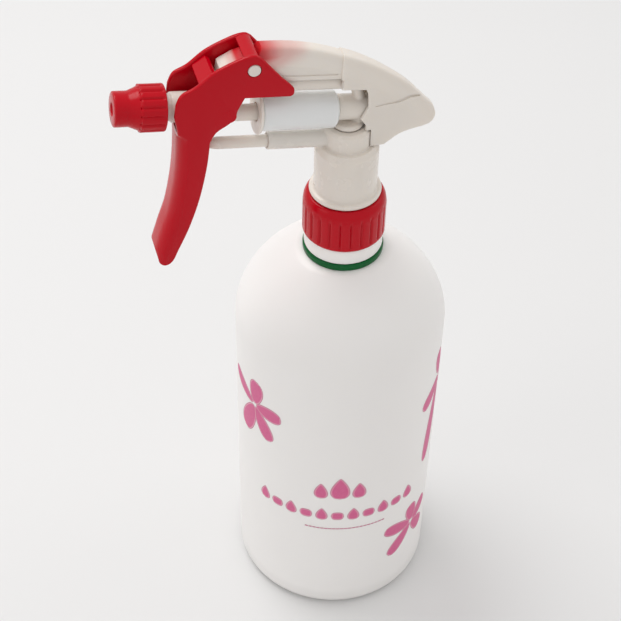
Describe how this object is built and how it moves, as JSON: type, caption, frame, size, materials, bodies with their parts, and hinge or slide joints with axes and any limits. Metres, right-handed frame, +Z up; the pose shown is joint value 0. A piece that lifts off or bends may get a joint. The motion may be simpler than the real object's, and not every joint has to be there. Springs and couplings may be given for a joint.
{
  "type": "trigger spray bottle",
  "caption": "Hand mister: round translucent bottle with a screw-on piston trigger head, adjustable nozzle and dip tube.",
  "frame": {"origin": "centre of the bottle's base, on the plane it stands on", "axes": "+Z up the bottle's axis, -X the way the nozzle points, +Y across the head"},
  "size_m": [0.1322, 0.088, 0.2911],
  "materials": {
    "bottle_plastic": "translucent milky, satin",
    "white_plastic": "satin moulded",
    "clear_plastic": "translucent, semi-gloss",
    "red_plastic": "semi-gloss moulded",
    "green_plastic": "semi-gloss moulded",
    "rubber": "matt",
    "steel": "polished"
  },
  "bodies": {
    "bottle": {"bottle": "bottle_plastic", "colour_ring": "green_plastic"},
    "head": {"neck_gasket": "rubber", "neck_body": "white_plastic", "intake_housing": "white_plastic", "ball_retainer": "white_plastic", "dip_tube": "clear_plastic", "tube_strainer": "white_plastic", "pump_body": "white_plastic", "valve_plug": "white_plastic", "pump_cylinder": "clear_plastic", "cylinder_cap": "white_plastic", "return_spring": "steel", "outlet_spring": "steel", "swirl_insert": "white_plastic", "pivot_pin": "white_plastic", "shroud": "white_plastic"},
    "collar": {"screw_collar": "red_plastic"},
    "trigger": {"trigger": "red_plastic"},
    "piston": {"piston_rod": "white_plastic", "piston_cup": "rubber"},
    "vent": {"vent_plunger": "white_plastic", "vent_seal": "rubber"},
    "nozzle_seal": {"nozzle_seal": "rubber"},
    "nozzle": {"nozzle_cap": "red_plastic"},
    "inlet_ball": {"inlet_ball": "steel"},
    "outlet_ball": {"outlet_ball": "steel"}
  },
  "joints": [
    {"name": "head_lift", "type": "slide", "parent": "bottle", "child": "head", "axis": [0, 0, 1], "range_m": [0, 0.0053]},
    {"name": "collar_turn", "type": "hinge", "parent": "head", "child": "collar", "pos_m": [0, 0, 0.2084], "axis": [0, 0, 1], "range_deg": [0, 450]},
    {"name": "trigger_pull", "type": "hinge", "parent": "head", "child": "trigger", "pos_m": [-0.03763, 0, 0.28511], "axis": [0, -1, 0], "range_deg": [0, 18], "stiffness_Nm_per_rad": 0.35, "springref_deg": -22.92},
    {"name": "piston_slide", "type": "slide", "parent": "head", "child": "piston", "axis": [0.9905, 0, -0.1374], "range_m": [0, 0.0065], "deforming": ["return_spring"]},
    {"name": "vent_slide", "type": "slide", "parent": "head", "child": "vent", "axis": [0.9905, 0, -0.1374], "range_m": [0, 0.0116]},
    {"name": "nozzle_travel", "type": "slide", "parent": "head", "child": "nozzle_seal", "axis": [-0.9905, 0, 0.1374], "range_m": [0, 0.0025]},
    {"name": "nozzle_turn", "type": "hinge", "parent": "nozzle_seal", "child": "nozzle", "pos_m": [-0.06934, 0, 0.26982], "axis": [-0.9905, 0, 0.1374], "range_deg": [0, 270]},
    {"name": "inlet_ball_lift", "type": "slide", "parent": "head", "child": "inlet_ball", "axis": [0, 0, 1], "range_m": [0, 0.002]},
    {"name": "outlet_ball_lift", "type": "slide", "parent": "head", "child": "outlet_ball", "axis": [-0.9905, 0, 0.1374], "range_m": [0, 0.0012], "stiffness_N_per_m": 20, "springref_m": -0.001, "deforming": ["outlet_spring"]}
  ],
  "couplings": [
    {"joint": "head_lift", "follows": "collar_turn", "m_per_rad": 0.00067323},
    {"joint": "piston_slide", "follows": "trigger_pull", "m_per_rad": 0.0201},
    {"joint": "vent_slide", "follows": "trigger_pull", "m_per_rad": 0.0363},
    {"joint": "nozzle_travel", "follows": "nozzle_turn", "m_per_rad": 0.0005093}
  ]
}
